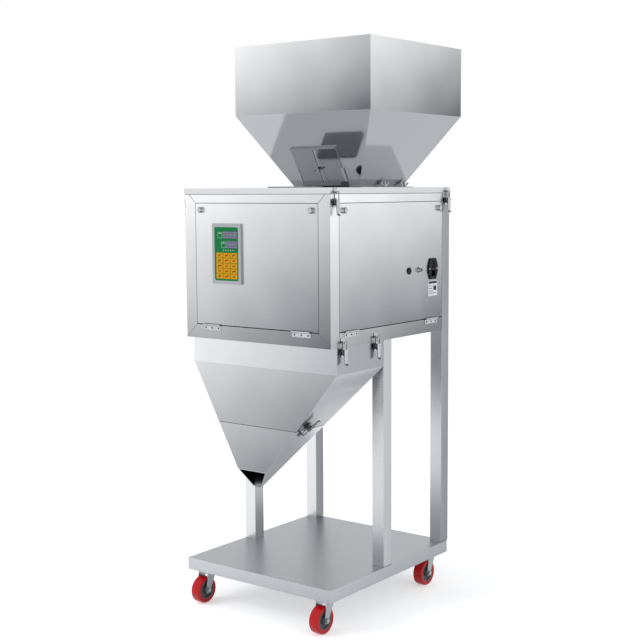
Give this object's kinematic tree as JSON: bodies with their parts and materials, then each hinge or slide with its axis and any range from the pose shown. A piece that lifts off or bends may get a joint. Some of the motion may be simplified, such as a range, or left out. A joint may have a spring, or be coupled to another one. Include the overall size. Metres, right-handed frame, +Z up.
{
  "type": "granule filling machine",
  "caption": "Free-standing weighing and filling machine: square hopper over a latched sheet cabinet, slanted funnel with a pouring nozzle, on a tubular stand with a castor platform.",
  "frame": {"origin": "on the floor, under the centre of the overall box of the machine at rest", "axes": "+X to the machine right, +Y to its back, +Z up"},
  "size_m": [0.5374, 0.699, 1.583],
  "materials": {
    "stainless": "satin 304 stainless sheet and tube",
    "polished_hardware": "polished stainless and nickel plated hardware",
    "zinc_plate": "bright zinc plated pressed steel",
    "smoked_acrylic": "smoked clear acrylic",
    "black_phenolic": "moulded black phenolic",
    "anodised_case": "silver anodised aluminium",
    "keypad_film": "printed polyester film",
    "black_nylon": "moulded black nylon",
    "black_rubber": "moulded black rubber",
    "red_polyurethane": "cast red polyurethane on a dark nylon hub",
    "painted_iron": "dark grey enamel on cast iron",
    "spring_steel": "blued spring steel",
    "aluminium_bar": "machined aluminium"
  },
  "bodies": {
    "root": {"platform": "stainless", "posts": "stainless", "cabinet_frame": "stainless", "cabinet_floor": "stainless", "left_panel": "stainless", "back_panel": "stainless", "top_lid": "stainless", "hopper": "stainless", "funnel": "stainless", "nozzle": "stainless", "weigh_bucket": "stainless", "cell_bracket": "stainless", "hopper_clamps": "polished_hardware", "hinge_frame_leaves": "polished_hardware", "latch_plates": "polished_hardware", "lid_window": "smoked_acrylic", "castor_mounts": "zinc_plate", "feeder_drive": "painted_iron", "feeder_springs": "spring_steel", "load_cell": "aluminium_bar"},
    "front_door": {"front_door": "stainless", "front_door_leaves": "polished_hardware", "controller_case": "anodised_case", "control_film": "keypad_film"},
    "side_door": {"side_door": "stainless", "side_door_leaves": "polished_hardware", "power_inlet": "black_nylon", "foot_switch_socket": "polished_hardware", "cable_bung": "black_rubber"},
    "rocker": {"rocker_switch": "black_nylon"},
    "front_knob_l": {"front_knob_left": "polished_hardware"},
    "front_knob_r": {"front_knob_right": "polished_hardware"},
    "side_knob_f": {"side_knob_front": "polished_hardware"},
    "side_knob_r": {"side_knob_rear": "polished_hardware"},
    "gate": {"gate_plate": "stainless"},
    "gate_nut": {"gate_wing_nut": "polished_hardware"},
    "window_knob": {"lid_knob": "black_phenolic"},
    "tray": {"feeder_tray": "stainless"},
    "flap_front": {"bucket_flap_front": "stainless"},
    "flap_rear": {"bucket_flap_rear": "stainless"},
    "lid_levers_right_body": {"lid_levers_right": "polished_hardware"},
    "lid_bails_right_body": {"lid_bails_right": "polished_hardware"},
    "lid_levers_left_body": {"lid_levers_left": "polished_hardware"},
    "lid_bails_left_body": {"lid_bails_left": "polished_hardware"},
    "funnel_levers_right_body": {"funnel_levers_right": "polished_hardware"},
    "funnel_bails_right_body": {"funnel_bails_right": "polished_hardware"},
    "funnel_levers_left_body": {"funnel_levers_left": "polished_hardware"},
    "funnel_bails_left_body": {"funnel_bails_left": "polished_hardware"},
    "nozzle_levers_right_body": {"nozzle_levers_right": "polished_hardware"},
    "nozzle_bails_right_body": {"nozzle_bails_right": "polished_hardware"},
    "nozzle_levers_left_body": {"nozzle_levers_left": "polished_hardware"},
    "nozzle_bails_left_body": {"nozzle_bails_left": "polished_hardware"},
    "fork_front_left": {"castor_fork_front_left": "zinc_plate"},
    "wheel_body_front_left": {"wheel_front_left": "red_polyurethane"},
    "fork_front_right": {"castor_fork_front_right": "zinc_plate"},
    "wheel_body_front_right": {"wheel_front_right": "red_polyurethane"},
    "fork_rear_left": {"castor_fork_rear_left": "zinc_plate"},
    "wheel_body_rear_left": {"wheel_rear_left": "red_polyurethane"},
    "fork_rear_right": {"castor_fork_rear_right": "zinc_plate"},
    "wheel_body_rear_right": {"wheel_rear_right": "red_polyurethane"}
  },
  "joints": [
    {"name": "front_door_swing", "type": "hinge", "parent": "root", "child": "front_door", "pos_m": [0, -0.3213, 0.80425], "axis": [1, 0, 0], "range_deg": [0, 150]},
    {"name": "side_door_swing", "type": "hinge", "parent": "root", "child": "side_door", "pos_m": [0.2558, -0.028, 0.80425], "axis": [0, 1, 0], "range_deg": [0, 115]},
    {"name": "front_knob_left_turn", "type": "hinge", "parent": "front_door", "child": "front_knob_l", "pos_m": [-0.193, -0.318, 1.121], "axis": [0, -1, 0], "continuous": true},
    {"name": "front_knob_right_turn", "type": "hinge", "parent": "front_door", "child": "front_knob_r", "pos_m": [0.193, -0.318, 1.121], "axis": [0, -1, 0], "continuous": true},
    {"name": "side_knob_front_turn", "type": "hinge", "parent": "side_door", "child": "side_knob_f", "pos_m": [0.2525, -0.2585, 1.121], "axis": [1, 0, 0], "continuous": true},
    {"name": "side_knob_rear_turn", "type": "hinge", "parent": "side_door", "child": "side_knob_r", "pos_m": [0.2525, 0.2025, 1.121], "axis": [1, 0, 0], "continuous": true},
    {"name": "rocker_tilt", "type": "hinge", "parent": "side_door", "child": "rocker", "pos_m": [0.2495, 0.171, 0.9605], "axis": [0, 1, 0], "range_deg": [-7, 7]},
    {"name": "gate_slide", "type": "slide", "parent": "root", "child": "gate", "axis": [0, -0.5018, 0.865], "range_m": [-0.05, 0.04]},
    {"name": "gate_nut_turn", "type": "hinge", "parent": "root", "child": "gate_nut", "pos_m": [0, -0.02751, 1.23363], "axis": [0, -0.865, -0.5018], "continuous": true},
    {"name": "lid_knob_turn", "type": "hinge", "parent": "root", "child": "window_knob", "pos_m": [0.104, -0.05, 1.18], "axis": [0, 0, 1], "continuous": true},
    {"name": "tray_vibration", "type": "slide", "parent": "root", "child": "tray", "axis": [0, -0.9781, 0.2079], "range_m": [-0.0005, 0.0005], "stiffness_N_per_m": 60000},
    {"name": "front_flap_swing", "type": "hinge", "parent": "root", "child": "flap_front", "pos_m": [0, -0.259, 0.85575], "axis": [-1, 0, 0], "range_deg": [0, 75]},
    {"name": "rear_flap_swing", "type": "hinge", "parent": "root", "child": "flap_rear", "pos_m": [0, -0.135, 0.85575], "axis": [1, 0, 0], "range_deg": [0, 75]},
    {"name": "lid_latch_right", "type": "hinge", "parent": "root", "child": "lid_levers_right_body", "pos_m": [0.26, -0.299, 1.1455], "axis": [0, -1, 0], "range_deg": [0, 80]},
    {"name": "lid_bail_right", "type": "hinge", "parent": "lid_levers_right_body", "child": "lid_bails_right_body", "pos_m": [0.26, -0.299, 1.1395], "axis": [0, -1, 0], "range_deg": [-96, 0]},
    {"name": "lid_latch_left", "type": "hinge", "parent": "root", "child": "lid_levers_left_body", "pos_m": [-0.26, -0.299, 1.1455], "axis": [0, 1, 0], "range_deg": [0, 80]},
    {"name": "lid_bail_left", "type": "hinge", "parent": "lid_levers_left_body", "child": "lid_bails_left_body", "pos_m": [-0.26, -0.299, 1.1395], "axis": [0, 1, 0], "range_deg": [-96, 0]},
    {"name": "funnel_latch_right", "type": "hinge", "parent": "root", "child": "funnel_levers_right_body", "pos_m": [0.26, -0.267, 0.7555], "axis": [0, -1, 0], "range_deg": [0, 80]},
    {"name": "funnel_bail_right", "type": "hinge", "parent": "funnel_levers_right_body", "child": "funnel_bails_right_body", "pos_m": [0.26, -0.267, 0.7495], "axis": [0, -1, 0], "range_deg": [-96, 0]},
    {"name": "funnel_latch_left", "type": "hinge", "parent": "root", "child": "funnel_levers_left_body", "pos_m": [-0.26, -0.267, 0.7555], "axis": [0, 1, 0], "range_deg": [0, 80]},
    {"name": "funnel_bail_left", "type": "hinge", "parent": "funnel_levers_left_body", "child": "funnel_bails_left_body", "pos_m": [-0.26, -0.267, 0.7495], "axis": [0, 1, 0], "range_deg": [-96, 0]},
    {"name": "nozzle_latch_right", "type": "hinge", "parent": "root", "child": "nozzle_levers_right_body", "pos_m": [0.14882, -0.28, 0.53955], "axis": [-0.3008, 0.8618, -0.4084], "range_deg": [0, 80]},
    {"name": "nozzle_bail_right", "type": "hinge", "parent": "nozzle_levers_right_body", "child": "nozzle_bails_right_body", "pos_m": [0.15189, -0.27696, 0.54372], "axis": [-0.3008, 0.8618, -0.4084], "range_deg": [-96, 0]},
    {"name": "nozzle_latch_left", "type": "hinge", "parent": "root", "child": "nozzle_levers_left_body", "pos_m": [-0.14882, -0.28, 0.53955], "axis": [-0.3008, -0.8618, 0.4084], "range_deg": [0, 80]},
    {"name": "nozzle_bail_left", "type": "hinge", "parent": "nozzle_levers_left_body", "child": "nozzle_bails_left_body", "pos_m": [-0.15189, -0.27696, 0.54372], "axis": [-0.3008, -0.8618, 0.4084], "range_deg": [-96, 0]},
    {"name": "swivel_front_left", "type": "hinge", "parent": "root", "child": "fork_front_left", "pos_m": [-0.212, -0.286, 0.093], "axis": [0, 0, 1], "continuous": true},
    {"name": "roll_front_left", "type": "hinge", "parent": "fork_front_left", "child": "wheel_body_front_left", "pos_m": [-0.212, -0.312, 0.0375], "axis": [1, 0, 0], "continuous": true},
    {"name": "swivel_front_right", "type": "hinge", "parent": "root", "child": "fork_front_right", "pos_m": [0.212, -0.286, 0.093], "axis": [0, 0, 1], "continuous": true},
    {"name": "roll_front_right", "type": "hinge", "parent": "fork_front_right", "child": "wheel_body_front_right", "pos_m": [0.212, -0.312, 0.0375], "axis": [1, 0, 0], "continuous": true},
    {"name": "swivel_rear_left", "type": "hinge", "parent": "root", "child": "fork_rear_left", "pos_m": [-0.212, 0.22, 0.093], "axis": [0, 0, 1], "continuous": true},
    {"name": "roll_rear_left", "type": "hinge", "parent": "fork_rear_left", "child": "wheel_body_rear_left", "pos_m": [-0.212, 0.194, 0.0375], "axis": [1, 0, 0], "continuous": true},
    {"name": "swivel_rear_right", "type": "hinge", "parent": "root", "child": "fork_rear_right", "pos_m": [0.212, 0.22, 0.093], "axis": [0, 0, 1], "continuous": true},
    {"name": "roll_rear_right", "type": "hinge", "parent": "fork_rear_right", "child": "wheel_body_rear_right", "pos_m": [0.212, 0.194, 0.0375], "axis": [1, 0, 0], "continuous": true}
  ],
  "couplings": [
    {"joint": "rear_flap_swing", "follows": "front_flap_swing", "ratio": 1},
    {"joint": "lid_bail_right", "follows": "lid_latch_right", "ratio": -1.2},
    {"joint": "lid_bail_left", "follows": "lid_latch_left", "ratio": -1.2},
    {"joint": "funnel_bail_right", "follows": "funnel_latch_right", "ratio": -1.2},
    {"joint": "funnel_bail_left", "follows": "funnel_latch_left", "ratio": -1.2},
    {"joint": "nozzle_bail_right", "follows": "nozzle_latch_right", "ratio": -1.2},
    {"joint": "nozzle_bail_left", "follows": "nozzle_latch_left", "ratio": -1.2}
  ]
}
